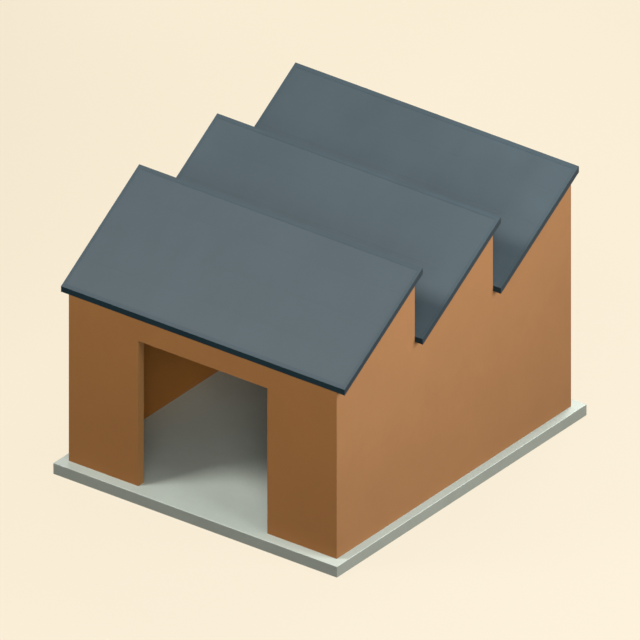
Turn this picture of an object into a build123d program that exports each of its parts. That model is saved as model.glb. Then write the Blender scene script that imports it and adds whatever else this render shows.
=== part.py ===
from build123d import *
import os
from math import cos, radians, tan

# Sawtooth roof workshop: a masonry box on a concrete slab, with a wide open doorway in front and
# a roof of three teeth. Each tooth slopes up from front to back and ends in a glazed upright face.
# Millimetres. The origin is the middle of the slab's underside, the doorway faces -Y, +Z is up.

# Plan and heights of the walls
building_width = 8050
wall_thickness = 225
bay_length = 3130
bay_count = 3
roof_pitch = 32

# Floor slab, which reaches past the walls on every side
slab_thickness = 300
slab_side_margin = 235
slab_end_margin = 305
slab_edge_bevel = 10

# Doorway, and the wall over it up to the underside of the roof
door_width = 3880
door_height = 4000
lintel_height = 580

# Roof build-up. Plumb sizes are measured straight up and down, at the pitch of the roof
roof_plumb_thickness = 150
verge_overhang = 235
deck_thickness = 25
trim_thickness = 3
trim_top_width = 90
trim_lap = 20
verge_drip = 10

# Timber rafters, notched over what carries them
light_count = 8
rafter_width = 75
rafter_depth = 175
rafter_notch = 30
rafter_end_gap = 5
notch_gap = 5
wall_plate_width = 100
wall_plate_height = 75

# Steel beams under the two valleys, built into the side walls on concrete pads
valley_beam_depth = 305
valley_beam_width = 165
valley_beam_flange = 10
valley_beam_web = 7
valley_beam_root_radius = 9
valley_beam_setback = 20
beam_bearing = 150
pocket_gap = 10
pad_length = 400
pad_height = 150

# Hollow steel beams under the three ridges
ridge_beam_depth = 150
ridge_beam_width = 100
ridge_beam_wall = 6
ridge_beam_corner = 12
ridge_beam_end_gap = 5
head_fascia_thickness = 15

# Steel angles that tie the ends of each ridge beam to the side walls, with two bolts in each leg
ridge_cleat_leg = 90
ridge_cleat_sheet = 8
ridge_cleat_root_radius = 8
ridge_cleat_height = 110
ridge_cleat_bolt_pitch = 58
ridge_cleat_bolt_hole = 10

# Upright glazed faces, named north lights
upstand_height = 150
upstand_thickness = 100
sill_height = 40
sill_nose = 30
sill_fall = 15
sill_drip_depth = 8
sill_drip_width = 10
frame_recess = 35
frame_depth = 65
frame_side_gap = 5
jamb_width = 50
mullion_width = 50
sill_rail_height = 60
head_rail_height = 50
glass_thickness = 24
glass_bite = 12
glass_from_face = 20
flashing_up_slope = 170
flashing_top_gap = 5

# Places worked out from the sizes above
slope = tan(radians(roof_pitch))
half_width = building_width / 2
inner_half_width = half_width - wall_thickness
building_length = bay_length * bay_count
front_y = -building_length / 2
eaves_height = door_height + lintel_height
eaves_z = slab_thickness + eaves_height
roof_half_width = half_width + verge_overhang
deck_plumb = deck_thickness / cos(radians(roof_pitch))
rafter_plumb = rafter_depth / cos(radians(roof_pitch))
light_pitch = 2 * inner_half_width / light_count
sill_seat = roof_plumb_thickness + upstand_height

# Edges of the valley beam and of the ridge beam, as distances back from the front of their bay
valley_beam_front = -valley_beam_setback - valley_beam_width / 2
valley_beam_back = -valley_beam_setback + valley_beam_width / 2
ridge_beam_back = bay_length - head_fascia_thickness
ridge_beam_front = ridge_beam_back - ridge_beam_width

# Levels of the rafter seats above the eaves
valley_seat = (valley_beam_back + notch_gap) * slope - rafter_plumb + rafter_notch
front_seat = (wall_thickness + notch_gap) * slope - rafter_plumb + rafter_notch
ridge_seat = ridge_beam_back * slope - rafter_plumb
frame_top = ridge_seat - ridge_beam_depth
frame_foot = sill_seat + sill_height


def bay_start(bay):
    """Y of the front of a bay, counted from 0 at the doorway."""
    return front_y + bay * bay_length


def across(profile, x_from, x_to, bay=0):
    """A solid from x_from to x_to. Its profile is a list of points: the distance back from the
    front of the bay, and the height above the eaves."""
    points = [(bay_start(bay) + back, eaves_z + up) for back, up in profile]
    face = make_face(Polyline(*points, close=True))
    return extrude(Plane.YZ.offset(x_from) * face, amount=x_to - x_from)


def upright_profile(back_from, back_to, up_from, up_to):
    """A rectangle, for across."""
    return [(back_from, up_from), (back_to, up_from), (back_to, up_to), (back_from, up_to)]


def sloped_profile(back_from, back_to, low, high):
    """A strip that follows the roof, from low to high above the underside of the roof, plumb cut."""
    return [
        (back_from, back_from * slope + low),
        (back_to, back_to * slope + low),
        (back_to, back_to * slope + high),
        (back_from, back_from * slope + high),
    ]


def floor_slab():
    slab_width = building_width + 2 * slab_side_margin
    slab_length = building_length + 2 * slab_end_margin
    slab = Pos(0, 0, slab_thickness / 2) * Box(slab_width, slab_length, slab_thickness)
    return chamfer(slab.faces().sort_by(Axis.Z)[-1].edges(), slab_edge_bevel)


def front_pier(side):
    """The front wall beside the doorway, from the side wall to the jamb."""
    pier_width = inner_half_width - door_width / 2
    centre_x = side * (door_width / 2 + pier_width / 2)
    centre = Pos(centre_x, front_y + wall_thickness / 2, slab_thickness + door_height / 2)
    return centre * Box(pier_width, wall_thickness, door_height)


def front_lintel():
    """The front wall over the doorway, stepped inside for the wall plate."""
    ledge = wall_thickness - wall_plate_width
    ledge_z = front_seat - wall_plate_height
    profile = [
        (0, -lintel_height),
        (wall_thickness, -lintel_height),
        (wall_thickness, ledge_z),
        (ledge, ledge_z),
        (ledge, ledge * slope),
        (0, 0),
    ]
    return across(profile, -inner_half_width, inner_half_width)


def rear_wall():
    profile = upright_profile(bay_length - wall_thickness, bay_length, -eaves_height, sill_seat)
    return across(profile, -inner_half_width, inner_half_width, bay_count - 1)


def valley_pad(side, bay):
    """The concrete pad in a side wall that carries one end of a valley beam."""
    top = valley_seat - valley_beam_depth
    profile = upright_profile(
        -valley_beam_setback - pad_length / 2,
        -valley_beam_setback + pad_length / 2,
        top - pad_height,
        top,
    )
    ends = sorted((side * inner_half_width, side * (inner_half_width + beam_bearing)))
    return across(profile, *ends, bay)


def valley_pocket(side, bay):
    """The hole in a side wall for one end of a valley beam."""
    profile = upright_profile(
        valley_beam_front - pocket_gap,
        valley_beam_back + pocket_gap,
        valley_seat - valley_beam_depth,
        valley_seat + pocket_gap,
    )
    depth = beam_bearing + pocket_gap
    ends = sorted((side * inner_half_width, side * (inner_half_width + depth)))
    return across(profile, *ends, bay)


def side_wall(side):
    """A side wall in one mass, with the teeth of the roof as its top."""
    profile = [(0, -eaves_height), (building_length, -eaves_height)]
    for bay in reversed(range(bay_count)):
        profile.append(((bay + 1) * bay_length, bay_length * slope))
        profile.append((bay * bay_length, 0))
    ends = sorted((side * inner_half_width, side * half_width))
    wall = across(profile, *ends)
    for bay in range(1, bay_count):
        wall -= valley_pad(side, bay)
        wall -= valley_pocket(side, bay)
    return wall


def valley_pads():
    return [valley_pad(side, bay) for bay in range(1, bay_count) for side in (-1, 1)]


def wall_plate():
    """The timber along the front wall that the first bay's rafters sit on."""
    profile = upright_profile(
        wall_thickness - wall_plate_width,
        wall_thickness,
        front_seat - wall_plate_height,
        front_seat,
    )
    return across(profile, -inner_half_width, inner_half_width)


def valley_beam(bay):
    """The I-beam at the front of a bay, with rounded roots between web and flanges."""
    section = Rectangle(valley_beam_width, valley_beam_depth)
    hollow_width = (valley_beam_width - valley_beam_web) / 2
    hollow_height = valley_beam_depth - 2 * valley_beam_flange
    offset = valley_beam_web / 2 + hollow_width / 2
    for side in (-1, 1):
        hollow = Pos(side * offset, 0) * Rectangle(hollow_width, hollow_height)
        corners = hollow.vertices().sort_by(Axis.X)
        by_the_web = corners[:2] if side > 0 else corners[2:]
        section -= fillet(by_the_web, valley_beam_root_radius)
    centre_z = eaves_z + valley_seat - valley_beam_depth / 2
    half_length = inner_half_width + beam_bearing
    place = Plane.YZ.offset(-half_length) * Pos(bay_start(bay) - valley_beam_setback, centre_z)
    return extrude(place * section, amount=2 * half_length)


def ridge_beam(bay):
    """The rectangular hollow section that stands on the glazed frame and carries the rafters."""
    section = RectangleRounded(ridge_beam_width, ridge_beam_depth, ridge_beam_corner)
    bore = RectangleRounded(
        ridge_beam_width - 2 * ridge_beam_wall,
        ridge_beam_depth - 2 * ridge_beam_wall,
        ridge_beam_corner - ridge_beam_wall,
    )
    centre_y = bay_start(bay) + (ridge_beam_front + ridge_beam_back) / 2
    centre_z = eaves_z + ridge_seat - ridge_beam_depth / 2
    half_length = inner_half_width - ridge_beam_end_gap
    place = Plane.YZ.offset(-half_length) * Pos(centre_y, centre_z)
    return extrude(place * (section - bore), amount=2 * half_length)


def ridge_cleat(side, bay):
    """An angle with one leg on a side wall and one on the front of the ridge beam."""
    leg = ridge_cleat_leg
    sheet = ridge_cleat_sheet
    corners = [(0, 0), (leg, 0), (leg, sheet), (sheet, sheet), (sheet, leg), (0, leg)]
    wall_x = side * inner_half_width
    beam_y = bay_start(bay) + ridge_beam_front
    section = make_face(Polyline(*[(wall_x - side * a, beam_y - b) for a, b in corners], close=True))
    root = section.vertices().sort_by_distance((wall_x - side * sheet, beam_y - sheet))[0]
    section = fillet(root, ridge_cleat_root_radius)
    middle_z = eaves_z + ridge_seat - ridge_beam_depth / 2
    place = Plane.XY.offset(middle_z - ridge_cleat_height / 2)
    cleat = extrude(place * section, amount=ridge_cleat_height)
    reach = leg / 2 + sheet
    for step in (-1, 1):
        z = middle_z + step * ridge_cleat_bolt_pitch / 2
        drill = Cylinder(ridge_cleat_bolt_hole / 2, 4 * sheet)
        cleat -= Pos(wall_x, beam_y - reach, z) * Rot(0, 90, 0) * drill
        cleat -= Pos(wall_x - side * reach, beam_y, z) * Rot(90, 0, 0) * drill
    return cleat


def ridge_cleats(bay):
    return [ridge_cleat(side, bay) for side in (-1, 1)]


def rafter(bay, x):
    """A rafter with a plumb cut at each end and a notch over each support."""
    if bay == 0:
        start = wall_thickness - wall_plate_width + rafter_end_gap
        heel = wall_thickness + notch_gap
        seat = front_seat
    else:
        start = trim_thickness + rafter_end_gap
        heel = valley_beam_back + notch_gap
        seat = valley_seat
    ridge_heel = ridge_beam_front - notch_gap
    end = bay_length - head_fascia_thickness
    profile = [
        (start, seat),
        (heel, seat),
        (heel, heel * slope - rafter_plumb),
        (ridge_heel, ridge_heel * slope - rafter_plumb),
        (ridge_heel, ridge_seat),
        (end, ridge_seat),
        (end, end * slope),
        (start, start * slope),
    ]
    return across(profile, x - rafter_width / 2, x + rafter_width / 2, bay)


def rafters(bay):
    """One rafter over each mullion of the glazing."""
    places = [(n + 1) * light_pitch - inner_half_width for n in range(light_count - 1)]
    return [rafter(bay, x) for x in places]


def roof_deck(bay):
    """The boards that lie on the rafters and on the side walls."""
    half = roof_half_width - trim_thickness
    return across(sloped_profile(trim_thickness, bay_length, 0, deck_plumb), -half, half, bay)


def roof_covering(bay):
    """The insulated weather layer on the boards."""
    half = roof_half_width - trim_thickness
    profile = sloped_profile(trim_thickness, bay_length, deck_plumb, roof_plumb_thickness)
    return across(profile, -half, half, bay)


def roof_trim(bay):
    """The folded metal round the four edges of a bay's roof, open in the middle. It laps over the
    top by the trim's width, over the glazing's fascia at the ridge, and has a drip at each verge.
    The eaves of the two rear bays have no lap on top, because the flashing lies there."""
    half = roof_half_width
    inner = half - trim_thickness
    back = bay_length + trim_thickness
    top = roof_plumb_thickness + trim_thickness
    shell = across(sloped_profile(0, back, 0, top), -half, half, bay)
    roof = sloped_profile(trim_thickness, bay_length, -trim_thickness, roof_plumb_thickness)
    shell -= across(roof, -inner, inner, bay)
    lap_start = trim_top_width if bay == 0 else -trim_thickness
    uncovered = sloped_profile(lap_start, bay_length - trim_top_width, roof_plumb_thickness, 2 * top)
    open_half = half - trim_top_width
    shell -= across(uncovered, -open_half, open_half, bay)
    ridge_lap = sloped_profile(bay_length, back, -trim_lap, trim_thickness)
    shell += across(ridge_lap, -half, half, bay)
    for side in (-1, 1):
        ends = sorted((side * inner, side * half))
        shell += across(sloped_profile(0, back, -verge_drip, trim_thickness), *ends, bay)
    return shell


def head_fascia(bay):
    """The board over the glazing that closes off the ridge beam and the rafter ends."""
    start = bay_length - head_fascia_thickness
    profile = [
        (start, frame_top),
        (bay_length, frame_top),
        (bay_length, bay_length * slope),
        (start, start * slope),
    ]
    return across(profile, -inner_half_width, inner_half_width, bay)


def valley_upstand(bay):
    """The kerb on a valley beam that the glazing behind the bay stands on."""
    foot = valley_seat
    profile = upright_profile(-upstand_thickness, 0, foot, sill_seat)
    return across(profile, -inner_half_width, inner_half_width, bay)


def valley_flashing(bay):
    """The folded sheet in a valley: up the kerb, and up the roof of the bay behind it."""
    low = roof_plumb_thickness
    far = flashing_up_slope
    sheet = trim_thickness
    top = sill_seat - flashing_top_gap
    profile = [
        (0, low),
        (far, far * slope + low),
        (far, far * slope + low + sheet),
        (sheet, sheet * slope + low + sheet),
        (sheet, top),
        (0, top),
    ]
    return across(profile, -half_width, half_width, bay)


def north_light_sill(bay):
    """The weathered sill, with a drip groove under its nose."""
    back = bay_length + sill_nose
    slope_start = bay_length - frame_recess
    groove = bay_length + sill_nose / 2
    profile = [
        (bay_length - upstand_thickness, 0),
        (groove, 0),
        (groove, sill_drip_depth),
        (groove + sill_drip_width, sill_drip_depth),
        (groove + sill_drip_width, 0),
        (back, 0),
        (back, sill_height - sill_fall),
        (slope_start, sill_height),
        (bay_length - upstand_thickness, sill_height),
    ]
    raised = [(along, sill_seat + up) for along, up in profile]
    return across(raised, -inner_half_width, inner_half_width, bay)


def light_spans():
    """Start and end in X of each opening in the glazed frame."""
    half = inner_half_width - frame_side_gap
    spans = []
    for n in range(light_count):
        left = n * light_pitch - inner_half_width
        start = -half + jamb_width if n == 0 else left + mullion_width / 2
        right = left + light_pitch
        end = half - jamb_width if n == light_count - 1 else right - mullion_width / 2
        spans.append((start, end))
    return spans


def north_light_frame(bay):
    """The welded frame of jambs, mullions and rails, rebated from inside for the glass."""
    outer_face = bay_length - frame_recess
    inner_face = outer_face - frame_depth
    glass_face = outer_face - glass_from_face
    half = inner_half_width - frame_side_gap
    foot = frame_foot + sill_rail_height
    head = frame_top - head_rail_height
    frame = across(upright_profile(inner_face, outer_face, frame_foot, frame_top), -half, half, bay)
    for start, end in light_spans():
        frame -= across(upright_profile(inner_face, outer_face, foot, head), start, end, bay)
        rebate = upright_profile(inner_face, glass_face, foot - glass_bite, head + glass_bite)
        frame -= across(rebate, start - glass_bite, end + glass_bite, bay)
    return frame


def north_light_glass(bay):
    """One double-glazed pane to each opening of the frame."""
    face = bay_length - frame_recess - glass_from_face
    foot = frame_foot + sill_rail_height - glass_bite
    head = frame_top - head_rail_height + glass_bite
    profile = upright_profile(face - glass_thickness, face, foot, head)
    return [across(profile, start - glass_bite, end + glass_bite, bay) for start, end in light_spans()]


def save(name, shape):
    """Writes one named piece, or several like pieces that don't touch."""
    if isinstance(shape, list):
        shape = Compound(children=shape)
    export_step(shape, f"parts/{name}.step")


os.makedirs("parts", exist_ok=True)
save("floor_slab", floor_slab())
save("front_wall_left", front_pier(-1))
save("front_wall_right", front_pier(1))
save("front_lintel", front_lintel())
save("left_wall", side_wall(-1))
save("right_wall", side_wall(1))
save("rear_wall", rear_wall())
save("valley_pads", valley_pads())
save("front_wall_plate", wall_plate())
for bay in range(bay_count):
    number = bay + 1
    save(f"ridge_beam_{number}", ridge_beam(bay))
    save(f"ridge_cleats_{number}", ridge_cleats(bay))
    save(f"rafters_{number}", rafters(bay))
    save(f"roof_deck_{number}", roof_deck(bay))
    save(f"roof_covering_{number}", roof_covering(bay))
    save(f"roof_trim_{number}", roof_trim(bay))
    save(f"head_fascia_{number}", head_fascia(bay))
    save(f"north_light_sill_{number}", north_light_sill(bay))
    save(f"north_light_frame_{number}", north_light_frame(bay))
    save(f"north_light_glass_{number}", north_light_glass(bay))
    if bay > 0:
        save(f"valley_beam_{bay}", valley_beam(bay))
        save(f"valley_upstand_{bay}", valley_upstand(bay))
        save(f"valley_flashing_{bay}", valley_flashing(bay))
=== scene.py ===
# A workshop with a sawtooth roof: the solids' materials, the fine pieces on them, and the stage

import random
from math import cos, pi, radians, sin, tan

import bmesh
import bpy
from mathutils import Matrix, Vector


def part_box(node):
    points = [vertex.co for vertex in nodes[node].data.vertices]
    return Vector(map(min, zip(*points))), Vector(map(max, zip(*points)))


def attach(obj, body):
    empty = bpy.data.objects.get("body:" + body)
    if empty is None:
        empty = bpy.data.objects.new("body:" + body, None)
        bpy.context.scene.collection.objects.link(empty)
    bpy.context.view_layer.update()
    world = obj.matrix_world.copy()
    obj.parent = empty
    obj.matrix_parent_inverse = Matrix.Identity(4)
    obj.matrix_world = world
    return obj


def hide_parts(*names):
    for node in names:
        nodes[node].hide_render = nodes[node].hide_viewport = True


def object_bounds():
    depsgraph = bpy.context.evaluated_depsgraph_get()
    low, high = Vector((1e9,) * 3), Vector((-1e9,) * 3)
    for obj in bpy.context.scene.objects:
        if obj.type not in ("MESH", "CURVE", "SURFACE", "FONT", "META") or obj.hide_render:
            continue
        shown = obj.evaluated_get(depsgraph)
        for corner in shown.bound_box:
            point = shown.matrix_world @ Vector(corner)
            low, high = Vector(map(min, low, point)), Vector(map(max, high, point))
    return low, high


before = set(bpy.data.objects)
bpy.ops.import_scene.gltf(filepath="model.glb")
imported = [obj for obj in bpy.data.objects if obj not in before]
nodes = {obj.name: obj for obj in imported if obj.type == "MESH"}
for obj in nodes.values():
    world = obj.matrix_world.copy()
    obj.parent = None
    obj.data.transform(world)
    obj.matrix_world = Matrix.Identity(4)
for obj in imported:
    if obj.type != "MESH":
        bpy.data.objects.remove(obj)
cad_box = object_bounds()

# What the solids were made with: the roof's bays and slope, and sizes in metres
bay_count = 3
roof_pitch = radians(32)
slope = tan(roof_pitch)
deck_thickness = 0.025
roof_thickness = 0.150
trim_thickness = 0.003
trim_top_width = 0.090
trim_lap = 0.020
verge_drip = 0.010
light_count = 8

# Sizes that are read from the fixed frame
floor_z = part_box("floor_slab")[1].z
wall_low, wall_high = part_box("right_wall")
front_y = wall_low.y
bay_length = (wall_high.y - wall_low.y) / bay_count
half_width = wall_high.x
inner_half_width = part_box("front_lintel")[1].x
roof_half_width = cad_box[1].x

# Level of the underside of the boards at the front of a bay
eaves_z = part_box("roof_deck_1")[0].z - trim_thickness * slope


def bay_y(bay):
    """Y of the front of a bay, counted from 0 at the doorway."""
    return front_y + bay * bay_length


def ride(piece):
    """Every piece belongs to the one fixed body."""
    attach(piece, "root")
    return piece


# Materials


def add(tree, kind, inputs=(), **settings):
    """One shader node. An input's value is a socket to join, or a constant."""
    node = tree.nodes.new("ShaderNode" + kind)
    for name, value in settings.items():
        setattr(node, name, value)
    for name, value in dict(inputs).items():
        if isinstance(value, bpy.types.NodeSocket):
            tree.links.new(value, node.inputs[name])
        else:
            node.inputs[name].default_value = value
    return node


def place(tree):
    """Where a point of the surface is, in metres."""
    return add(tree, "TexCoord").outputs["Object"]


def stretched(tree, where, scale=(1, 1, 1), turn=(0, 0, 0)):
    """The same place, turned and then scaled on each axis."""
    turned = add(tree, "Mapping", {"Vector": where, "Rotation": turn})
    return add(tree, "Mapping", {"Vector": turned.outputs[0], "Scale": scale}).outputs[0]


def noise(tree, where, scale, detail=2.0, rough=0.5, warp=0.0):
    """Soft noise from 0 to 1, mostly near its middle."""
    inputs = {"Vector": where, "Scale": scale, "Detail": detail}
    inputs.update({"Roughness": rough, "Distortion": warp})
    return add(tree, "TexNoise", inputs).outputs["Fac"]


def spots(tree, where, scale):
    """Distance to the nearest of many scattered points."""
    return add(tree, "TexVoronoi", {"Vector": where, "Scale": scale}).outputs["Distance"]


def remap(tree, value, low, high, to_low=0.0, to_high=1.0):
    """A value carried from one range to another, and held at the ends."""
    inputs = {"Value": value, "From Min": low, "From Max": high}
    inputs.update({"To Min": to_low, "To Max": to_high})
    return add(tree, "MapRange", inputs).outputs[0]


def calc(tree, operation, first, second=0.0):
    """One step of arithmetic on values that vary over the surface."""
    return add(tree, "Math", {0: first, 1: second}, operation=operation).outputs[0]


def weighted(tree, *parts):
    """The sum of values, each times its share. A part is a value and its share."""
    total = None
    for value, share in parts:
        part = calc(tree, "MULTIPLY", value, share)
        total = part if total is None else calc(tree, "ADD", total, part)
    return total


def axis_of(tree, where, axis):
    """X, Y or Z of a place or a direction, by the number 0, 1 or 2."""
    return add(tree, "SeparateXYZ", {0: where}).outputs[axis]


def facing_of(tree, axis):
    """How far the surface looks along an axis, from -1 to 1."""
    return axis_of(tree, add(tree, "NewGeometry").outputs["Normal"], axis)


def blend(tree, factor, first, second):
    """A colour between two colours."""
    return add(tree, "Mix", {0: factor, 6: first, 7: second}, data_type="RGBA").outputs[2]


def shaded(colour, factor):
    """A colour made darker or lighter, and opaque."""
    return tuple(channel * factor for channel in colour) + (1.0,)


def scaled(tree, colour, factor):
    """A colour times a number that varies over the surface."""
    return add(tree, "VectorMath", {0: colour, "Scale": factor}, operation="SCALE").outputs[0]


def mottled(tree, value, ends, colour, darkest, lightest):
    """Shades of a colour, from its darkest to its lightest as the value goes between two ends."""
    return blend(tree, remap(tree, value, *ends), shaded(colour, darkest), shaded(colour, lightest))


def bumped(tree, height, depth, strength):
    """A surface with small relief. The depth is in metres."""
    return add(tree, "Bump", {"Height": height, "Distance": depth, "Strength": strength}).outputs[0]


def material(name, paint, **constants):
    """A material whose paint function makes its nodes and returns what to join to the shader.
    Constants are set on the shader's own sockets."""
    made = bpy.data.materials.new(name)
    made.use_nodes = True
    tree = made.node_tree
    shader = tree.nodes["Principled BSDF"]
    for socket, value in constants.items():
        shader.inputs[socket.replace("_", " ")].default_value = value
    for socket, source in paint(tree).items():
        tree.links.new(source, shader.inputs[socket])
    return made


# The frame's own plain materials make way for these
for packed in list(bpy.data.materials):
    bpy.data.materials.remove(packed)

# Colours as linear red, green and blue
WALL = (0.375, 0.159, 0.040)
# Copies of the wall's colour with painted light: a painted sheen on the long sides outside, lighter
# jambs, and lighter, deeper long sides inside
WALL_SIDE_SHEEN = (0.372, 0.1735, 0.063)
WALL_JAMB_PAINTED_LIGHT = (0.486, 0.233, 0.073)
WALL_INSIDE_PAINTED_LIGHT = (0.480, 0.184, 0.027)
CONCRETE = (0.618, 0.679, 0.595)
# The concrete's upright faces, darker with painted shade; a darker shade of this colours the pores
SIDE_SHADE_AND_PORE = (0.354, 0.374, 0.312)
ROOF = (0.0578, 0.0840, 0.0970)
# The trim's outward faces, darker with painted shade, and those of its verges, less dark with a painted
# sheen
TRIM_SHADED_FACE = (0.0125, 0.0315, 0.0385)
TRIM_VERGE_SHEEN = (0.031, 0.045, 0.053)
STONE = (0.42, 0.42, 0.38)
FRAME = (0.045, 0.062, 0.068)
PRIMER = (0.20, 0.21, 0.20)
SOFTWOOD = (0.46, 0.30, 0.15)
ZINC_DARK = (0.42, 0.44, 0.45)
ZINC_LIGHT = (0.58, 0.60, 0.61)
RUBBER = (0.012, 0.012, 0.013)
RUBBER_DUSTY = (0.03, 0.03, 0.031)
GLASS = (0.93, 0.97, 0.95)
ROOF_ROUGHNESS = (0.50, 0.56)

# Distances from the middle, in metres: the jambs of the doorway lie nearer than the first, and every
# face of the walls nearer than the second
jamb_reach = 2.5
beyond_walls = 20.0

# Each such distance is told with this margin
face_margin = 0.1

# How far above the floor the foot of the walls is darker, and Y where the roof's painted light is
# brightest
damp_height = 0.7
brightest_roof_y = 0.6


def sideways_faces(tree, where, least, most=beyond_walls):
    """One on the faces that look along X and whose distance from the middle is between least and
    most. The distance is negative where a face looks inward."""
    across = facing_of(tree, 0)
    upright = remap(tree, calc(tree, "ABSOLUTE", across), 0.3, 0.6)
    distance = calc(tree, "MULTIPLY", across, axis_of(tree, where, 0))
    beyond = remap(tree, distance, least - face_margin, least + face_margin)
    within = remap(tree, distance, most - face_margin, most + face_margin, 1.0, 0.0)
    return calc(tree, "MULTIPLY", upright, calc(tree, "MULTIPLY", beyond, within))


def paint_render_coat(tree):
    """Fine sand render: soft cloudy tone, a sandy grain, and a slightly darker foot. Painted light:
    the long sides are a little lighter and paler outside, with a painted sheen, the jambs are lighter,
    and the long sides are lighter and deeper in colour inside."""
    where = place(tree)
    # Painted light: the long sides outside, the jambs and the long sides inside each take a lighter copy
    # of the wall's colour
    base = blend(tree, sideways_faces(tree, where, 0.0), (*WALL, 1), (*WALL_SIDE_SHEEN, 1))
    base = blend(tree, sideways_faces(tree, where, -jamb_reach, 0.0), base, (*WALL_JAMB_PAINTED_LIGHT, 1))
    base = blend(tree, sideways_faces(tree, where, -beyond_walls, -jamb_reach), base, (*WALL_INSIDE_PAINTED_LIGHT, 1))
    clouds = noise(tree, where, 0.8, 4.0, 0.55)
    grain = noise(tree, where, 240.0, 3.0, 0.7)
    floated = noise(tree, stretched(tree, where, (5, 5, 3)), 1.0, 5.0, 0.6, 0.6)
    tone = weighted(tree, (clouds, 0.5), (grain, 0.25), (floated, 0.25))
    colour = scaled(tree, base, remap(tree, tone, 0.3, 0.7, 0.94, 1.06))
    foot = remap(tree, axis_of(tree, where, 2), floor_z + 0.05, floor_z + damp_height, 1.0, 0.0)
    damp = calc(tree, "MULTIPLY", foot, remap(tree, floated, 0.35, 0.65))
    colour = blend(tree, calc(tree, "MULTIPLY", damp, 0.12), colour, shaded(WALL, 0.6))
    height = calc(tree, "ADD", grain, calc(tree, "MULTIPLY", floated, 0.8))
    rough = remap(tree, grain, 0.3, 0.7, 0.82, 0.95)
    return {"Base Color": colour, "Roughness": rough, "Normal": bumped(tree, height, 0.0012, 0.6)}


def paint_concrete(tree):
    """Floated concrete: pale cement with fine specks, pores and cloudy patches. The upright faces are
    darker, with painted shade."""
    where = place(tree)
    clouds = noise(tree, where, 1.1, 5.0, 0.6, 0.4)
    specks = noise(tree, where, 320.0, 2.0, 0.8)
    pores = remap(tree, spots(tree, where, 60.0), 0.05, 0.16)
    swirl = noise(tree, stretched(tree, where, (3, 7, 7)), 1.0, 6.0, 0.65, 1.5)
    tone = weighted(tree, (clouds, 0.45), (specks, 0.3), (swirl, 0.25))
    floated = mottled(tree, tone, (0.32, 0.68), CONCRETE, 0.95, 1.05)
    # Painted shade: a darker copy of the concrete for the upright faces
    shaded_sides = mottled(tree, tone, (0.32, 0.68), SIDE_SHADE_AND_PORE, 0.92, 1.07)
    level = remap(tree, facing_of(tree, 2), 0.3, 0.7)
    colour = blend(tree, level, shaded_sides, floated)
    colour = blend(tree, pores, shaded(SIDE_SHADE_AND_PORE, 0.75), colour)
    height = calc(tree, "ADD", pores, calc(tree, "MULTIPLY", specks, 0.5))
    rough = remap(tree, clouds, 0.3, 0.7, 0.62, 0.8)
    return {"Base Color": colour, "Roughness": rough, "Normal": bumped(tree, height, 0.0008, 0.5)}


def roof_bloom(tree, where):
    """The clouds of dust on the roof."""
    return noise(tree, stretched(tree, where, (0.9, 0.5, 0.5)), 1.0, 5.0, 0.6, 0.3)


def sheet_dust_and_painted_light(tree, where, bloom, darkest, lightest):
    """The membrane's colour with its bloom of dust, and painted light and shade: a little lighter to the
    rear and to the left, darker to the front.
    """
    colour = mottled(tree, bloom, (0.3, 0.7), ROOF, darkest, lightest)
    # Painted light and shade: lighter to the left and to the rear, darker towards the right and the front
    # eave
    leftward = remap(tree, axis_of(tree, where, 0), -roof_half_width, roof_half_width, 1.02, 0.975)
    rearward = remap(tree, axis_of(tree, where, 1), front_y, brightest_roof_y, 0.955, 1.025)
    return scaled(tree, colour, calc(tree, "MULTIPLY", leftward, rearward))


def paint_membrane(tree):
    """Smooth sheet membrane with a faint bloom, painted light and shade across the roof, and a fine
    emboss.
    """
    where = place(tree)
    bloom = roof_bloom(tree, where)
    emboss = noise(tree, where, 500.0, 1.0)
    colour = sheet_dust_and_painted_light(tree, where, bloom, 0.95, 1.07)
    rough = remap(tree, bloom, 0.3, 0.7, *ROOF_ROUGHNESS)
    return {"Base Color": colour, "Roughness": rough, "Normal": bumped(tree, emboss, 0.0003, 0.35)}


def paint_trim(tree):
    """Folded trim in the membrane's finish, with a bloom of dust and the membrane's painted light. The
    outward faces are darker, with painted shade, and those of the verges are a little less dark, with a
    painted sheen."""
    where = place(tree)
    bloom = roof_bloom(tree, where)
    peel = noise(tree, where, 700.0, 1.0)
    dust_and_painted_light = sheet_dust_and_painted_light(tree, where, bloom, 0.97, 1.09)
    # Painted shade on the outward faces, and a painted sheen on the verges
    shade_and_sheen = mottled(tree, bloom, (0.3, 0.7), TRIM_SHADED_FACE, 0.9, 1.1)
    shade_and_sheen = blend(tree, sideways_faces(tree, where, 1.0), shade_and_sheen, (*TRIM_VERGE_SHEEN, 1))
    upright = remap(tree, calc(tree, "ABSOLUTE", facing_of(tree, 2)), 0.3, 0.45, 1.0, 0.0)
    sideways = calc(tree, "MULTIPLY", facing_of(tree, 0), axis_of(tree, where, 0))
    outward = calc(tree, "MULTIPLY", upright, remap(tree, sideways, -0.6, -0.4))
    colour = blend(tree, outward, dust_and_painted_light, shade_and_sheen)
    rough = remap(tree, bloom, 0.3, 0.7, *ROOF_ROUGHNESS)
    return {"Base Color": colour, "Roughness": rough, "Normal": bumped(tree, peel, 0.0002, 0.3)}


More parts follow.
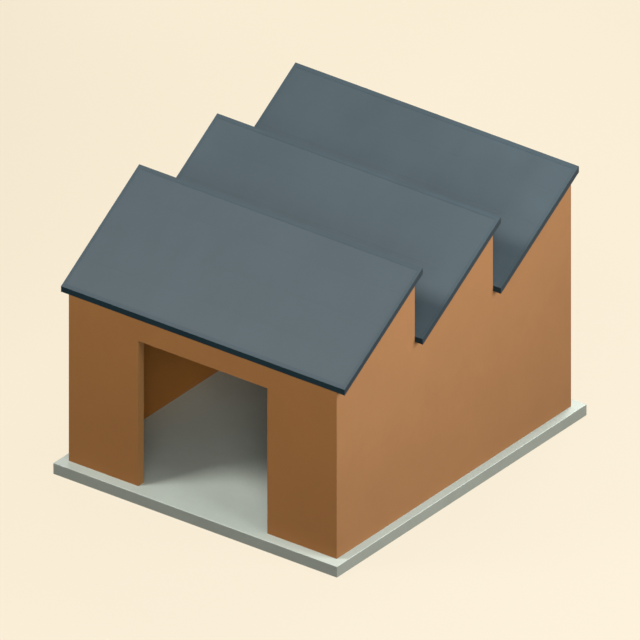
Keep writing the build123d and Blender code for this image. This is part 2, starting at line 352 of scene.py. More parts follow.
def paint_cast_stone(tree):
    """Smooth cast stone with fine sand and a few blow holes."""
    where = place(tree)
    sand = noise(tree, where, 420.0, 2.0, 0.8)
    holes = remap(tree, spots(tree, where, 45.0), 0.03, 0.09)
    clouds = noise(tree, where, 2.5, 4.0, 0.6)
    tone = weighted(tree, (clouds, 0.5), (sand, 0.5))
    colour = mottled(tree, tone, (0.32, 0.68), STONE, 0.88, 1.1)
    colour = blend(tree, holes, shaded(STONE, 0.55), colour)
    height = calc(tree, "ADD", holes, calc(tree, "MULTIPLY", sand, 0.4))
    rough = remap(tree, sand, 0.3, 0.7, 0.7, 0.85)
    return {"Base Color": colour, "Roughness": rough, "Normal": bumped(tree, height, 0.0007, 0.5)}


def paint_powder_coat(colour):
    """A paint function for powder-coated metal with a fine orange peel."""

    def paint(tree):
        where = place(tree)
        peel = noise(tree, where, 700.0, 1.0)
        dust = noise(tree, where, 2.2, 5.0, 0.65)
        tone = mottled(tree, dust, (0.35, 0.65), colour, 0.94, 1.08)
        rough = remap(tree, dust, 0.3, 0.7, 0.38, 0.46)
        return {"Base Color": tone, "Roughness": rough, "Normal": bumped(tree, peel, 0.0002, 0.3)}

    return paint


def paint_timber(colour, turn=(0, 0, 0)):
    """A paint function for planed softwood, with the grain along X once it is turned. Each board is
    cut from another part of the tree."""

    def paint(tree):
        where = stretched(tree, place(tree), turn=turn)
        chance = add(tree, "NewGeometry").outputs["Random Per Island"]
        sideways = calc(tree, "MULTIPLY", chance, 7.0)
        shift = add(tree, "CombineXYZ", {0: chance, 1: sideways, 2: chance}).outputs[0]
        shifted = add(tree, "VectorMath", {0: where, 1: shift}, operation="ADD").outputs[0]
        wander = noise(tree, stretched(tree, shifted, (0.6, 9, 9)), 1.0, 3.0, 0.5, 0.8)
        rings = calc(tree, "SINE", calc(tree, "MULTIPLY", wander, 46.0))
        fibre = noise(tree, stretched(tree, shifted, (6, 420, 420)), 1.0, 2.0)
        grain = calc(tree, "ADD", calc(tree, "MULTIPLY", rings, 0.18), fibre)
        tone = mottled(tree, grain, (0.2, 0.8), colour, 0.78, 1.12)
        tone = blend(tree, remap(tree, chance, 0.0, 1.0, 0.0, 0.3), tone, shaded(colour, 0.7))
        rough = remap(tree, grain, 0.2, 0.8, 0.7, 0.55)
        return {"Base Color": tone, "Roughness": rough, "Normal": bumped(tree, grain, 0.0004, 0.5)}

    return paint


def paint_galvanised(tree):
    """Zinc with its spangle of flat crystals."""
    where = place(tree)
    crystals = add(tree, "TexVoronoi", {"Vector": where, "Scale": 90.0}).outputs["Color"]
    value = add(tree, "SeparateColor", {0: crystals}).outputs[0]
    tone = blend(tree, value, (*ZINC_DARK, 1), (*ZINC_LIGHT, 1))
    return {"Base Color": tone, "Roughness": remap(tree, value, 0, 1, 0.35, 0.55)}


def paint_rubber(tree):
    """Black rubber with some dust."""
    dust = noise(tree, place(tree), 30.0, 3.0)
    tone = blend(tree, dust, (*RUBBER, 1), (*RUBBER_DUSTY, 1))
    return {"Base Color": tone, "Roughness": remap(tree, dust, 0.3, 0.7, 0.6, 0.75)}


def paint_glass(tree):
    """Clear glass with a trace of dust in its roughness."""
    dust = noise(tree, place(tree), 6.0, 4.0)
    return {"Roughness": remap(tree, dust, 0.4, 0.8, 0.02, 0.07)}


render_coat = material("fine_render_coat", paint_render_coat)
concrete = material("floated_concrete", paint_concrete)
membrane = material("roof_membrane", paint_membrane)
trim_paint = material("trim_powder_coat", paint_trim, Specular_IOR_Level=0.3)
# The fascia takes the colour of the trim's outward faces, with its painted shade
fascia_paint = material("fascia_paint", paint_powder_coat(TRIM_SHADED_FACE))
cast_stone = material("cast_stone", paint_cast_stone)
frame_paint = material("frame_paint", paint_powder_coat(FRAME))
beam_paint = material("beam_primer", paint_powder_coat(PRIMER))
along_x = material("timber_along_x", paint_timber(SOFTWOOD))
along_slope = material("timber_up_slope", paint_timber(SOFTWOOD, (-roof_pitch, 0, radians(90))))
zinc = material("galvanised_steel", paint_galvanised, Metallic=1.0)
rubber = material("black_gasket", paint_rubber)
glass = material(
    "clear_glass", paint_glass, Transmission_Weight=1.0, IOR=1.5, Base_Color=(*GLASS, 1)
)

NODE_MATERIALS = {
    "floor_slab": concrete,
    "valley_pads": concrete,
    "front_wall_left": render_coat,
    "front_wall_right": render_coat,
    "front_lintel": render_coat,
    "left_wall": render_coat,
    "right_wall": render_coat,
    "rear_wall": render_coat,
    "front_wall_plate": along_x,
    "valley_beam": beam_paint,
    "ridge_beam": beam_paint,
    "ridge_cleats": beam_paint,
    "valley_upstand": along_x,
    "valley_flashing": trim_paint,
    "rafters": along_slope,
    "roof_deck": along_x,
    "roof_covering": membrane,
    "roof_trim": trim_paint,
    "head_fascia": fascia_paint,
    "north_light_sill": cast_stone,
    "north_light_frame": frame_paint,
    "north_light_glass": glass,
}


def dress_nodes():
    """The material of each solid, found by its node's name, with or without the number at its end."""
    for name, node in nodes.items():
        chosen = NODE_MATERIALS.get(name) or NODE_MATERIALS[name.rstrip("0123456789").rstrip("_")]
        node.data.materials.clear()
        node.data.materials.append(chosen)


# Shapes

# Axes of a placed shape: its outline lies in the first two, and it is drawn out along the third
ALONG_X = Matrix(((0, 0, 1, 0), (1, 0, 0, 0), (0, 1, 0, 0), (0, 0, 0, 1)))
ALONG_Y = Matrix(((1, 0, 0, 0), (0, 0, 1, 0), (0, 1, 0, 0), (0, 0, 0, 1)))


def facing(outward, up, origin=(0, 0, 0)):
    """A placement whose third axis is outward and whose second axis is up."""
    third = Vector(outward).normalized()
    second = Vector(up).normalized()
    first = second.cross(third)
    turn = Matrix((first, second, third)).transposed().to_4x4()
    return Matrix.Translation(origin) @ turn


def prism(mesh, outline, start, end, placed=ALONG_X):
    """A closed bar whose outline is a list of points, drawn out from start to end."""
    near = [mesh.verts.new(placed @ Vector((a, b, start))) for a, b in outline]
    far = [mesh.verts.new(placed @ Vector((a, b, end))) for a, b in outline]
    mesh.faces.new(near)
    mesh.faces.new(far[::-1])
    for n in range(len(outline)):
        mesh.faces.new((near[n - 1], far[n - 1], far[n], near[n]))


def turned(mesh, rings, sides, placed):
    """A closed round shape. Its rings are a radius and a height, from the foot to the top."""
    angles = [2 * pi * n / sides for n in range(sides)]
    rows = []
    for radius, height in rings:
        points = [Vector((radius * cos(a), radius * sin(a), height)) for a in angles]
        rows.append([mesh.verts.new(placed @ point) for point in points])
    mesh.faces.new(rows[0][::-1])
    mesh.faces.new(rows[-1])
    for low, high in zip(rows, rows[1:]):
        for n in range(sides):
            mesh.faces.new((low[n - 1], low[n], high[n], high[n - 1]))


def picture_frame(mesh, low, high, profile):
    """A mitred frame round an upright rectangle. Low and high are (x, z) corners, and the profile is
    a list of points: the distance in from the rectangle, and y."""
    rings = []
    for inward, y in profile:
        x_ends = (low[0] + inward, high[0] - inward)
        z_ends = (low[1] + inward, high[1] - inward)
        corners = [(0, 0), (1, 0), (1, 1), (0, 1)]
        rings.append([mesh.verts.new((x_ends[i], y, z_ends[j])) for i, j in corners])
    for n in range(len(rings)):
        for corner in range(4):
            after = (corner + 1) % 4
            loop = (rings[n - 1][corner], rings[n - 1][after], rings[n][after], rings[n][corner])
            mesh.faces.new(loop)


def finished(name, mesh, paint):
    """The object of a mesh whose faces all look outward."""
    bmesh.ops.recalc_face_normals(mesh, faces=mesh.faces)
    data = bpy.data.meshes.new(name)
    mesh.to_mesh(data)
    mesh.free()
    data.materials.append(paint)
    piece = bpy.data.objects.new(name, data)
    bpy.context.scene.collection.objects.link(piece)
    return ride(piece)


# Fasteners, as rings of a radius and a height in metres

PAN_HEAD = ((0.0045, 0.0), (0.0045, 0.0012), (0.0030, 0.0024), (0.0012, 0.0027))
WASHER = ((0.0085, 0.0), (0.0085, 0.0014), (0.0080, 0.0018))
HEXAGON = ((0.0075, 0.0015), (0.0075, 0.0062), (0.0062, 0.0075))


def screw(mesh, placed):
    """The pan head of a screw."""
    turned(mesh, PAN_HEAD, 8, placed)


def bolt(mesh, placed):
    """The head of a hexagon bolt on its washer."""
    turned(mesh, WASHER, 12, placed)
    turned(mesh, HEXAGON, 6, placed)


# Roof


def on_roof(bay, along, up):
    """Y and Z of a point on a bay's roof: the distance up the slope from the front corner of the
    boards' underside, and the height above that underside, square to the slope."""
    y = bay_y(bay) + along * cos(roof_pitch) - up * sin(roof_pitch)
    z = eaves_z + along * sin(roof_pitch) + up * cos(roof_pitch)
    return y, z


def plumb_cut(back, up):
    """Distance up the slope where a plumb cut crosses that height. Back is measured level."""
    return (back + up * sin(roof_pitch)) / cos(roof_pitch)


def up_slope(bay, along):
    """A placement whose outline is across the roof and square to it, drawn out up the slope."""
    y, z = on_roof(bay, along, 0)
    square = (0, -sin(roof_pitch), cos(roof_pitch))
    return facing((0, cos(roof_pitch), sin(roof_pitch)), square, (0, y, z))


def off_roof(bay, x, along, up):
    """A placement that stands square to the roof."""
    y, z = on_roof(bay, along, up)
    return facing((0, -sin(roof_pitch), cos(roof_pitch)), (1, 0, 0), (x, y, z))


rafter_pitch = 2 * inner_half_width / light_count
rafter_places = [(n + 1) * rafter_pitch - inner_half_width for n in range(light_count - 1)]
roof_up = roof_thickness * cos(roof_pitch)
trim_up = (roof_thickness + trim_thickness) * cos(roof_pitch)

# Boards of the deck
board_width = 0.120
board_gap = 0.0004
board_vee = 0.003
tongue_out = 0.007
tongue_low = 0.009
tongue_high = 0.015
tongue_play = 0.0006
board_seed = 40


def board_outline(bay, start, end, first, last):
    """A tongued and grooved board with a V at each lower edge. The first and last boards of a
    roof end in a plumb cut."""
    thick = deck_thickness
    points = []
    if first:
        points += [(plumb_cut(trim_thickness, thick), thick), (plumb_cut(trim_thickness, 0), 0)]
    else:
        points += [
            (start, thick),
            (start, tongue_high + tongue_play),
            (start + tongue_out + tongue_play, tongue_high + tongue_play),
            (start + tongue_out + tongue_play, tongue_low - tongue_play),
            (start, tongue_low - tongue_play),
            (start, board_vee),
            (start + board_vee, 0),
        ]
    if last:
        points += [(plumb_cut(bay_length, 0), 0), (plumb_cut(bay_length, thick), thick)]
    else:
        points += [
            (end - board_vee, 0),
            (end - board_gap, board_vee),
            (end - board_gap, tongue_low),
            (end + tongue_out, tongue_low),
            (end + tongue_out, tongue_high),
            (end - board_gap, tongue_high),
            (end - board_gap, thick),
        ]
    return [on_roof(bay, along, up) for along, up in points]


def deck_boards(bay):
    """Rows of boards along the bay, butted over rafters and staggered from row to row."""
    mesh = bmesh.new()
    chance = random.Random(board_seed + bay)
    start = plumb_cut(trim_thickness, 0)
    length = plumb_cut(bay_length, 0) - start
    count = round(length / board_width)
    cover = length / count
    half = roof_half_width - trim_thickness
    for row in range(count):
        outline = board_outline(
            bay, start + row * cover, start + (row + 1) * cover, row == 0, row == count - 1
        )
        joint = chance.choice((0, 1, 2))
        joints = rafter_places[joint::3]
        ends = [-half] + joints + [half]
        for left, right in zip(ends, ends[1:]):
            prism(mesh, outline, left + board_gap, right - board_gap)
    boards = finished(f"deck_boards_{bay + 1}", mesh, along_x)
    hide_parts(f"roof_deck_{bay + 1}")


# Sheets of the membrane: each lower edge stands up by the edge's height and fades out up the slope
sheet_width = 0.98
sheet_edge = 0.0012
sheet_feather = 0.25
sheet_sunk = 0.0003
sheet_bevel = 0.002
sheet_lean = 0.0005


def membrane_laps(bay):
    """The lower edges of the membrane's sheets, each lapped over the sheet below it."""
    mesh = bmesh.new()
    length = plumb_cut(bay_length - trim_top_width, roof_up)
    half = roof_half_width - trim_top_width
    count = int(length / sheet_width)
    for n in range(1, count + 1):
        foot = n * sheet_width
        points = [
            (foot, roof_up - sheet_sunk),
            (foot + sheet_feather, roof_up - sheet_sunk),
            (foot + sheet_bevel, roof_up + sheet_edge),
            (foot + sheet_lean, roof_up + sheet_edge * 0.6),
        ]
        prism(mesh, [on_roof(bay, along, up) for along, up in points], -half, half)
    finished(f"membrane_laps_{bay + 1}", mesh, membrane)


# Cover straps over the joints of the trim
strap_width = 0.100
strap_sheet = 0.0010
strap_short = 0.004
strap_lift = 0.001
strap_places = (-2.13, 0, 2.13)
screw_inset = 0.022


def folded(points, sheet):
    """The outline of a thin folded strip. Its points are on the inner side, and the outer side lies
    to the left of them."""
    inner = [Vector(point) for point in points]
    legs = [(after - before).normalized().orthogonal() for before, after in zip(inner, inner[1:])]
    outer = [inner[0] + legs[0] * sheet]
    for point, before, after in zip(inner[1:], legs, legs[1:]):
        mitre = (before + after).normalized()
        outer.append(point + mitre * sheet / mitre.dot(before))
    outer.append(inner[-1] + legs[-1] * sheet)
    return [tuple(point) for point in inner + outer[::-1]]


def verge_strap(mesh, bay, side):
    """A cover strap over the joint in the middle of a verge's trim, with screws in both legs."""
    edge = side * roof_half_width
    inner = side * (roof_half_width - trim_top_width + strap_short)
    low = -verge_drip * cos(roof_pitch) + strap_lift
    path = [(inner, trim_up), (edge, trim_up), (edge, low)]
    if side < 0:
        path.reverse()
    middle = plumb_cut(bay_length, trim_up) / 2
    flipped = [(-a, b) for a, b in folded(path, strap_sheet)]
    prism(mesh, flipped, 0, strap_width, up_slope(bay, middle - strap_width / 2))
    outer_x = side * (roof_half_width + strap_sheet)
    upper_x = side * (roof_half_width - trim_top_width / 2)
    for step in (-1, 1):
        along = middle + step * (strap_width / 2 - screw_inset)
        screw(mesh, off_roof(bay, upper_x, along, trim_up + strap_sheet))
        y, z = on_roof(bay, along, trim_up / 2)
        screw(mesh, facing((side, 0, 0), (0, 0, 1), (outer_x, y, z)))


def eave_strap(mesh, x):
    """A cover strap over a joint in the trim of the front eave."""
    y, z = on_roof(0, 0, 0)
    back = trim_top_width - strap_short
    top = roof_thickness + trim_thickness
    path = [(y, z + strap_lift), (y, z + top), (y + back, z + back * slope + top)]
    prism(mesh, folded(path, strap_sheet), x - strap_width / 2, x + strap_width / 2)
    for step in (-1, 1):
        place_x = x + step * (strap_width / 2 - screw_inset)
        along = plumb_cut(trim_top_width / 2, trim_up)
        screw(mesh, off_roof(0, place_x, along, trim_up + strap_sheet))
        screw(mesh, facing((0, -1, 0), (0, 0, 1), (place_x, y - strap_sheet, z + top / 2)))


def ridge_strap(mesh, bay, x):
    """A cover strap over a joint in the trim of a ridge."""
    y = bay_y(bay + 1) + trim_thickness
    z = eaves_z + (bay_length + trim_thickness) * slope
    back = trim_top_width - strap_short
    top = roof_thickness + trim_thickness
    path = [(y - back, z + top - back * slope), (y, z + top), (y, z - trim_lap)]
    prism(mesh, folded(path, strap_sheet), x - strap_width / 2, x + strap_width / 2)
    for step in (-1, 1):
        place_x = x + step * (strap_width / 2 - screw_inset)
        along = plumb_cut(bay_length - trim_top_width / 2, trim_up)
        screw(mesh, off_roof(bay, place_x, along, trim_up + strap_sheet))
        screw(mesh, facing((0, 1, 0), (0, 0, 1), (place_x, y + strap_sheet, z + top / 2)))


def trim_straps(bay):
    """All cover straps of a bay, with those of the eave on the first bay."""
    mesh = bmesh.new()
    for side in (-1, 1):
        verge_strap(mesh, bay, side)
    for x in strap_places:
        ridge_strap(mesh, bay, x)
        if bay == 0:
            eave_strap(mesh, x)
    finished(f"trim_straps_{bay + 1}", mesh, trim_paint)


# Screws of the trim, at about this distance from each other
trim_screw_pitch = 0.30


def spread(start, end, pitch):
    """Places between start and end at about that pitch, half a pitch in from each."""
    count = max(1, round((end - start) / pitch))
    step = (end - start) / count
    return [start + (n + 0.5) * step for n in range(count)]


def trim_screws(bay):
    """The row of screws that fixes each face of the trim."""
    mesh = bmesh.new()
    length = plumb_cut(bay_length, roof_up / 2)
    for along in spread(0, length, trim_screw_pitch):
        if abs(along - length / 2) < strap_width:
            continue
        y, z = on_roof(bay, along, roof_up / 2)
        for side in (-1, 1):
            screw(mesh, facing((side, 0, 0), (0, 0, 1), (side * roof_half_width, y, z)))
    ridge_y = bay_y(bay + 1) + trim_thickness
    ridge_z = eaves_z + bay_length * slope + roof_thickness / 2
    for x in spread(-roof_half_width, roof_half_width, trim_screw_pitch):
        if min(abs(x - joint) for joint in strap_places) < strap_width:
            continue
        screw(mesh, facing((0, 1, 0), (0, 0, 1), (x, ridge_y, ridge_z)))
        if bay == 0:
            screw(mesh, facing((0, -1, 0), (0, 0, 1), (x, front_y, eaves_z + roof_thickness / 2)))
    finished(f"trim_screws_{bay + 1}", mesh, trim_paint)


# Clamping bars in the valleys, each with a bead of sealant on top
bar_height = 0.025
bar_sheet = 0.0025
bar_below_top = 0.004
bar_end_gap = 0.01
bar_screw_pitch = 0.20


def valley_bar(number):
    """The bar that clamps the top of a valley's flashing to its kerb, its screws, and the bead of
    sealant over it."""
    flashing_low, flashing_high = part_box(f"valley_flashing_{number}")
    face = flashing_low.y + trim_thickness
    top = flashing_high.z - bar_below_top
    half = half_width - bar_end_gap
    mesh = bmesh.new()
    outline = [
        (face, top - bar_height),
        (face + bar_sheet * 0.6, top - bar_height),
        (face + bar_sheet, top - bar_height * 0.9),
        (face + bar_sheet, top - bar_height * 0.1),
        (face + bar_sheet * 0.6, top),
        (face, top),
    ]
    prism(mesh, outline, -half, half)
    for x in spread(-half, half, bar_screw_pitch):
        screw(mesh, facing((0, 1, 0), (0, 0, 1), (x, face + bar_sheet, top - bar_height / 2)))
    finished(f"valley_bar_{number}", mesh, zinc)
    mesh = bmesh.new()
    bead = [
        (face, top),
        (face + bar_sheet, top),
        (face + bar_sheet * 0.4, top + bar_below_top * 0.7),
        (face, top + bar_below_top),
    ]
    prism(mesh, bead, -half, half)
    finished(f"valley_sealant_{number}", mesh, rubber)


# North lights

jamb_width = 0.050
mullion_width = 0.050
sill_rail_height = 0.060
head_rail_height = 0.050
glass_from_face = 0.020
glass_thickness = 0.024
glass_bite = 0.012
pane_thickness = 0.006
spacer_from_edge = 0.005
spacer_width = 0.0095
bead_width = 0.022
bead_chamfer = 0.004
bead_play = 0.0003
bead_set_in = 0.0005
inner_gasket = 0.003
gasket_lip = 0.003
gasket_from_edge = 0.006
gasket_proud = 0.0008
bead_screw_pitch = 0.25
weep_from_foot = 0.014
weep_half_width = 0.018

# A weep hood's outline, as how far out and how far up
WEEP_HOOD = ((0, 0), (0.0055, 0.0005), (0.0060, 0.0035), (0.0015, 0.0110), (0, 0.0115))


class Light:
    """The faces and the openings of one bay's glazed frame."""

    def __init__(self, bay):
        low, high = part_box(f"north_light_frame_{bay + 1}")
        self.outer_face = high.y
        self.inner_face = low.y
        self.glass_face = high.y - glass_from_face
        self.glass_back = self.glass_face - glass_thickness
        self.frame_foot = low.z
        self.foot = low.z + sill_rail_height
        self.head = high.z - head_rail_height
        self.openings = []
        for n in range(light_count):
            left = n * rafter_pitch - inner_half_width
            start = low.x + jamb_width if n == 0 else left + mullion_width / 2
            right = left + rafter_pitch
            end = high.x - jamb_width if n == light_count - 1 else right - mullion_width / 2
            self.openings.append((start, end))

    def opening(self, n, grown=0.0):
        """Low and high (x, z) corners of an opening, grown on every side."""
        start, end = self.openings[n]
        return (start - grown, self.foot - grown), (end + grown, self.head + grown)


def rectangle(low, high):
    """The outline of a rectangle between two corners."""
    return [(low[0], low[1]), (high[0], low[1]), (high[0], high[1]), (low[0], high[1])]


def glazing_panes(bay, light):
    """Two panes of glass to each opening."""
    mesh = bmesh.new()
    for n in range(light_count):
        low, high = light.opening(n, glass_bite)
        for face in (light.glass_face, light.glass_back + pane_thickness):
            prism(mesh, rectangle(low, high), face - pane_thickness, face, ALONG_Y)
    panes = finished(f"glazing_panes_{bay + 1}", mesh, glass)
    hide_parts(f"north_light_glass_{bay + 1}")


def glazing_spacers(bay, light):
    """The bar between the two panes, all round the edge."""
    mesh = bmesh.new()
    near = light.glass_back + pane_thickness
    far = light.glass_face - pane_thickness
    profile = rectangle((spacer_from_edge, near), (spacer_from_edge + spacer_width, far))
    for n in range(light_count):
        picture_frame(mesh, *light.opening(n, glass_bite), profile)
    finished(f"glazing_spacers_{bay + 1}", mesh, zinc)


def glazing_gaskets(bay, light):
    """The black lip outside each pane, and the strip between the pane and its bead."""
    mesh = bmesh.new()
    face = light.glass_face
    back = light.glass_back
    lip = [
        (0, face),
        (gasket_lip, face),
        (gasket_lip * 0.6, face + gasket_lip),
        (0, face + gasket_lip * 1.3),
    ]
    strip = rectangle((gasket_from_edge, back - inner_gasket), (bead_width + gasket_proud, back))
    for n in range(light_count):
        picture_frame(mesh, *light.opening(n), lip)
        picture_frame(mesh, *light.opening(n, glass_bite), strip)
    finished(f"glazing_gaskets_{bay + 1}", mesh, rubber)


def glazing_beads(bay, light):
    """Screwed beads that hold the glass from inside."""
    mesh = bmesh.new()
    near = light.inner_face + bead_set_in
    far = light.glass_back - inner_gasket
    profile = [
        (bead_play, near),
        (bead_width - bead_chamfer, near),
        (bead_width, near + bead_chamfer),
        (bead_width, far),
        (bead_play, far),
    ]
    middle = (bead_width - bead_chamfer) / 2
    for n in range(light_count):
        low, high = light.opening(n, glass_bite)
        picture_frame(mesh, low, high, profile)
        rails = (low[1] + middle, high[1] - middle)
        stiles = (low[0] + middle, high[0] - middle)
        places = [(x, z) for x in spread(low[0], high[0], bead_screw_pitch) for z in rails]
        places += [(x, z) for z in spread(low[1], high[1], bead_screw_pitch) for x in stiles]
        for x, z in places:
            screw(mesh, facing((0, -1, 0), (0, 0, 1), (x, near, z)))
    finished(f"glazing_beads_{bay + 1}", mesh, frame_paint)


def weep_hoods(bay, light):
    """Small hoods over the drain slots of the bottom rail."""
    mesh = bmesh.new()
    foot = light.frame_foot + weep_from_foot
    outline = [(light.outer_face + out, foot + up) for out, up in WEEP_HOOD]
    for start, end in light.openings:
        for x in spread(start, end, (end - start) / 2):
            prism(mesh, outline, x - weep_half_width, x + weep_half_width)
    finished(f"weep_hoods_{bay + 1}", mesh, rubber)


# Sill stones
sill_joint = 0.006
sill_joint_depth = 0.003
sill_nose = 0.030
sill_fall = 0.015
sill_drip_depth = 0.008
sill_drip_width = 0.010
frame_recess = 0.035
sill_edge = 0.002


def sill_outline(bay, shrunk):
    """The weathered sill with a drip groove, or the mortar in its joints, which is set in."""
    low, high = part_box(f"north_light_sill_{bay + 1}")
    back = high.y - shrunk
    front = low.y + shrunk
    foot = low.z + shrunk
    top = high.z - shrunk
    slope_start = bay_y(bay + 1) - frame_recess
    groove = bay_y(bay + 1) + sill_nose / 2
    edge = sill_edge
    return [
        (front, foot),
        (groove, foot),
        (groove + shrunk, low.z + sill_drip_depth + shrunk),
        (groove + sill_drip_width - shrunk, low.z + sill_drip_depth + shrunk),
        (groove + sill_drip_width, foot),
        (back - edge, foot),
        (back, foot + edge),
        (back, top - sill_fall - edge),
        (back - edge, top - sill_fall),
        (slope_start, top),
        (front, top),
    ]


def sill_stones(bay):
    """Sill stones, one to each light, with mortar in their joints."""
    stones = bmesh.new()
    mortar = bmesh.new()
    for n in range(light_count):
        left = n * rafter_pitch - inner_half_width
        right = left + rafter_pitch
        start = left + (sill_joint / 2 if n > 0 else 0)
        end = right - (sill_joint / 2 if n < light_count - 1 else 0)
        prism(stones, sill_outline(bay, 0), start, end)
        if n > 0:
            inset = sill_outline(bay, sill_joint_depth)
            prism(mortar, inset, left - sill_joint / 2, left + sill_joint / 2)
    stones = finished(f"sill_stones_{bay + 1}", stones, cast_stone)
    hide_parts(f"north_light_sill_{bay + 1}")
    finished(f"sill_mortar_{bay + 1}", mortar, concrete)


# Carpentry and steel

rafter_width = 0.075
cleat_leg = 0.060
cleat_sheet = 0.003
cleat_bend = 0.004
cleat_length = 0.050
cleat_bolt_reach = 0.0372

# How far behind the front of a bay the cleats have room on the valley's beam
valley_seat_start = 0.009


def cleat_outline(leg, sheet, bend):
    """An angle with a rounded bend, as (across, up)."""
    return [
        (bend, 0),
        (leg, 0),
        (leg, sheet),
        (sheet + bend, sheet),
        (sheet, sheet + bend),
        (sheet, leg),
        (0, leg),
        (0, bend),
    ]


def rafter_cleat(mesh, x, side, y, z):
    """A galvanised angle beside a rafter, bolted to the rafter and to what carries it."""
    foot = x + side * rafter_width / 2
    angle = cleat_outline(cleat_leg, cleat_sheet, cleat_bend)
    outline = [(foot + side * across, z + up) for across, up in angle]
    prism(mesh, outline, y - cleat_length / 2, y + cleat_length / 2, ALONG_Y)
    level_x = foot + side * cleat_bolt_reach
    upright_x = foot + side * cleat_sheet
    for step in (-1, 1):
        place_y = y + step * cleat_length / 4
        bolt(mesh, facing((0, 0, 1), (0, 1, 0), (level_x, place_y, z + cleat_sheet)))
        bolt(mesh, facing((side, 0, 0), (0, 0, 1), (upright_x, place_y, z + cleat_bolt_reach)))


def rafter_cleats(bay):
    """A pair of cleats at each end of each rafter."""
    mesh = bmesh.new()
    if bay == 0:
        low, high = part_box("front_wall_plate")
    else:
        low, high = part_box(f"valley_beam_{bay}")
        low.y = bay_y(bay) + valley_seat_start
    ridge_low, ridge_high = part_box(f"ridge_beam_{bay + 1}")
    for x in rafter_places:
        for side in (-1, 1):
            rafter_cleat(mesh, x, side, (low.y + high.y) / 2, high.z)
            rafter_cleat(mesh, x, side, (ridge_low.y + ridge_high.y) / 2, ridge_high.z)
    finished(f"rafter_cleats_{bay + 1}", mesh, zinc)


# The angles at the ends of the ridge beams, and their bolts
ridge_cleat_sheet = 0.008
ridge_bolt_reach = 0.053
ridge_bolt_pitch = 0.058


def ridge_bolts(bay):
    """Bolts through the steel angles that tie the ends of a ridge beam to the side walls."""
    mesh = bmesh.new()
    low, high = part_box(f"ridge_cleats_{bay + 1}")
    middle = (low.z + high.z) / 2
    for side in (-1, 1):
        wall_x = side * (inner_half_width - ridge_cleat_sheet)
        beam_x = side * (inner_half_width - ridge_bolt_reach)
        for step in (-1, 1):
            z = middle + step * ridge_bolt_pitch / 2
            bolt(mesh, facing((-side, 0, 0), (0, 0, 1), (wall_x, high.y - ridge_bolt_reach, z)))
            bolt(mesh, facing((0, -1, 0), (0, 0, 1), (beam_x, high.y - ridge_cleat_sheet, z)))
    finished(f"ridge_bolts_{bay + 1}", mesh, zinc)


for bay in range(bay_count):
    light = Light(bay)
    deck_boards(bay)
    membrane_laps(bay)
    trim_straps(bay)
    trim_screws(bay)
    glazing_panes(bay, light)
    glazing_spacers(bay, light)
    glazing_gaskets(bay, light)
    glazing_beads(bay, light)
    weep_hoods(bay, light)
    sill_stones(bay)
    rafter_cleats(bay)
    ridge_bolts(bay)
for number in range(1, bay_count):
    valley_bar(number)


# Stage, camera and light

# The photograph looks along (-3, 4, -2.8) with no perspective. It is 640 pixels wide.
view_back = Vector((3.0, -4.0, 2.8)).normalized()
photo_pixels = 640
pixels_per_metre = 41.6
aim = Vector((0.002, 0.0, 3.428))
camera_distance = 40.0

BACKGROUND = (0.90, 0.805, 0.64)
FLOOR_LEFT = (0.937, 0.833, 0.649)
FLOOR_RIGHT = (0.954, 0.857, 0.695)

# The floor's tone changes from left to right across its middle, and it fades further to the left
floor_half_width = 300.0
floor_drop = 0.001
tone_half_width = 12.0
fading_x = (-22.0, -8.0)
faded_share = 0.90
shadow_share = 0.05

# The card on the ground behind the building, by its distances from the middle: it starts near, is
# brightest from full on, and ends far
card_half_width = 40.0
card_near = 6.0
card_full = 30.0
card_far = 45.0
card_strengths = (0.35, 0.9)

# Soft square lights: degrees round from the front towards the right side, degrees up, distance
# and width in metres, power in watts, and whether their light is followed where it bounces
LIGHTS = {
    "key_front_left": (-33.5, 50.7, 34, 8.2, 5767, False),
    "fill_front": (30, 15, 112, 40, 26700, True),
    "fill_front_right": (40, 25, 112, 32, 20800, True),
    "fill_high_front": (5, 50, 28, 16, 611, True),
    "low_right": (70, 30, 28, 6, 1351, True),
    "side_right": (94, 30, 28, 12, 5610, False),
    "high_back": (180, 50, 28, 8, 4691, False),
    "low_back_left": (-135, 10, 28, 12, 3200, True),
}
LIGHTS_AIM = Vector((0, 0, 3))


def looking(name, data, target, back, distance):
    """A camera or a light that looks at a target from that distance. Back points from the target
    to where it stands."""
    made = bpy.data.objects.new(name, data)
    made.location = target + back * distance
    made.rotation_mode = "QUATERNION"
    made.rotation_quaternion = (-back).to_track_quat("-Z", "Y")
    bpy.context.scene.collection.objects.link(made)
    return made


def make_camera():
    """A camera with no perspective, at the photograph's angle and scale."""
    data = bpy.data.cameras.new("camera")
    data.type = "ORTHO"
    data.ortho_scale = photo_pixels / pixels_per_metre
    data.clip_end = 200.0
    bpy.context.scene.camera = looking("camera", data, aim, view_back, camera_distance)


def make_lights():
    """The soft lights, which the camera doesn't see."""
    for name, (around, up, distance, width, power, bounces) in LIGHTS.items():
        data = bpy.data.lights.new(name, "AREA")
        data.size = width
        data.energy = power
        if not bounces:
            data.cycles.max_bounces = 0
        level = cos(radians(up))
        back = Vector((sin(radians(around)) * level, -cos(radians(around)) * level, sin(radians(up))))
        lamp = looking(name, data, LIGHTS_AIM, back, distance)
        lamp.visible_camera = False


def make_world():
    """A plain backdrop beyond the floor, which lights nothing."""
    world = bpy.data.worlds.new("world")
    bpy.context.scene.world = world
    world.use_nodes = True
    tree = world.node_tree
    background = tree.nodes["Background"]
    background.inputs["Color"].default_value = (*BACKGROUND, 1)
    seen = add(tree, "LightPath").outputs["Is Camera Ray"]
    tree.links.new(seen, background.inputs["Strength"])


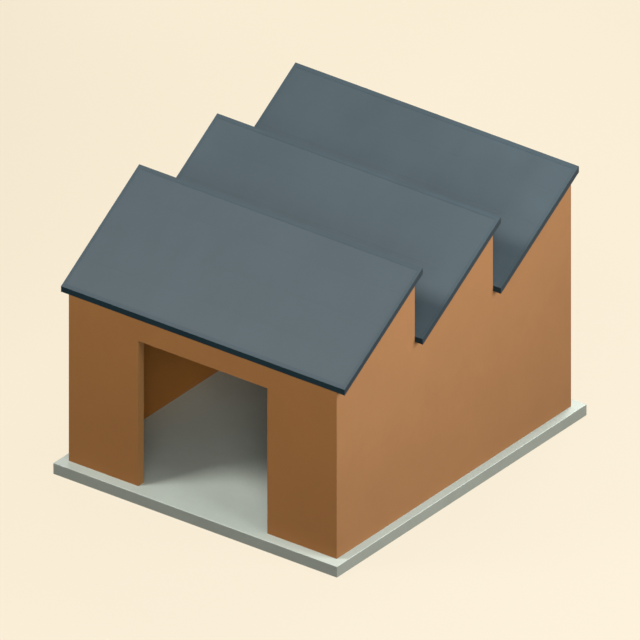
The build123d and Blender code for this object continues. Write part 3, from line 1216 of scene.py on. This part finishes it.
def level_plane(name, low, high, z):
    """A level rectangle of the stage that lights nothing and casts no shadow, and the shader nodes
    of its own material."""
    mesh = bpy.data.meshes.new(name)
    mesh.from_pydata([(x, y, z) for x, y in rectangle(low, high)], [], [(0, 1, 2, 3)])
    plane = bpy.data.objects.new(name, mesh)
    bpy.context.scene.collection.objects.link(plane)
    plane.visible_diffuse = False
    plane.visible_glossy = False
    plane.visible_transmission = False
    plane.visible_shadow = False
    made = bpy.data.materials.new(name)
    made.use_nodes = True
    made.node_tree.nodes.remove(made.node_tree.nodes["Principled BSDF"])
    mesh.materials.append(made)
    return plane, made.node_tree


def make_floor():
    """The plain floor. It glows in the background's colour and takes only a trace of shadow."""
    low = (-floor_half_width, -floor_half_width)
    high = (floor_half_width, floor_half_width)
    _, tree = level_plane("plain_floor", low, high, -floor_drop)
    x = axis_of(tree, place(tree), 0)
    across = remap(tree, x, -tone_half_width, tone_half_width)
    tone = blend(tree, across, (*FLOOR_LEFT, 1), (*FLOOR_RIGHT, 1))
    glow = add(tree, "Emission", {"Color": tone, "Strength": remap(tree, x, *fading_x, faded_share, 1.0)})
    matt = add(tree, "BsdfDiffuse", {"Color": (*FLOOR_RIGHT, 1)})
    both = add(tree, "MixShader", {0: shadow_share, 1: glow.outputs[0], 2: matt.outputs[0]})
    tree.links.new(both.outputs[0], tree.nodes["Material Output"].inputs["Surface"])


def make_reflector():
    """A pale card on the ground behind the building. Only reflections show it, so the glass of the
    north lights has something to mirror."""
    low = (-card_half_width, card_near)
    high = (card_half_width, card_far)
    card, tree = level_plane("reflector_card", low, high, 0)
    card.visible_camera = False
    card.visible_glossy = True
    strength = remap(tree, axis_of(tree, place(tree), 1), card_near, card_full, *card_strengths)
    glow = add(tree, "Emission", {"Color": (*BACKGROUND, 1), "Strength": strength})
    tree.links.new(glow.outputs[0], tree.nodes["Material Output"].inputs["Surface"])


dress_nodes()
make_camera()
make_lights()
make_world()
make_floor()
make_reflector()
bpy.context.scene.view_settings.view_transform = "Standard"
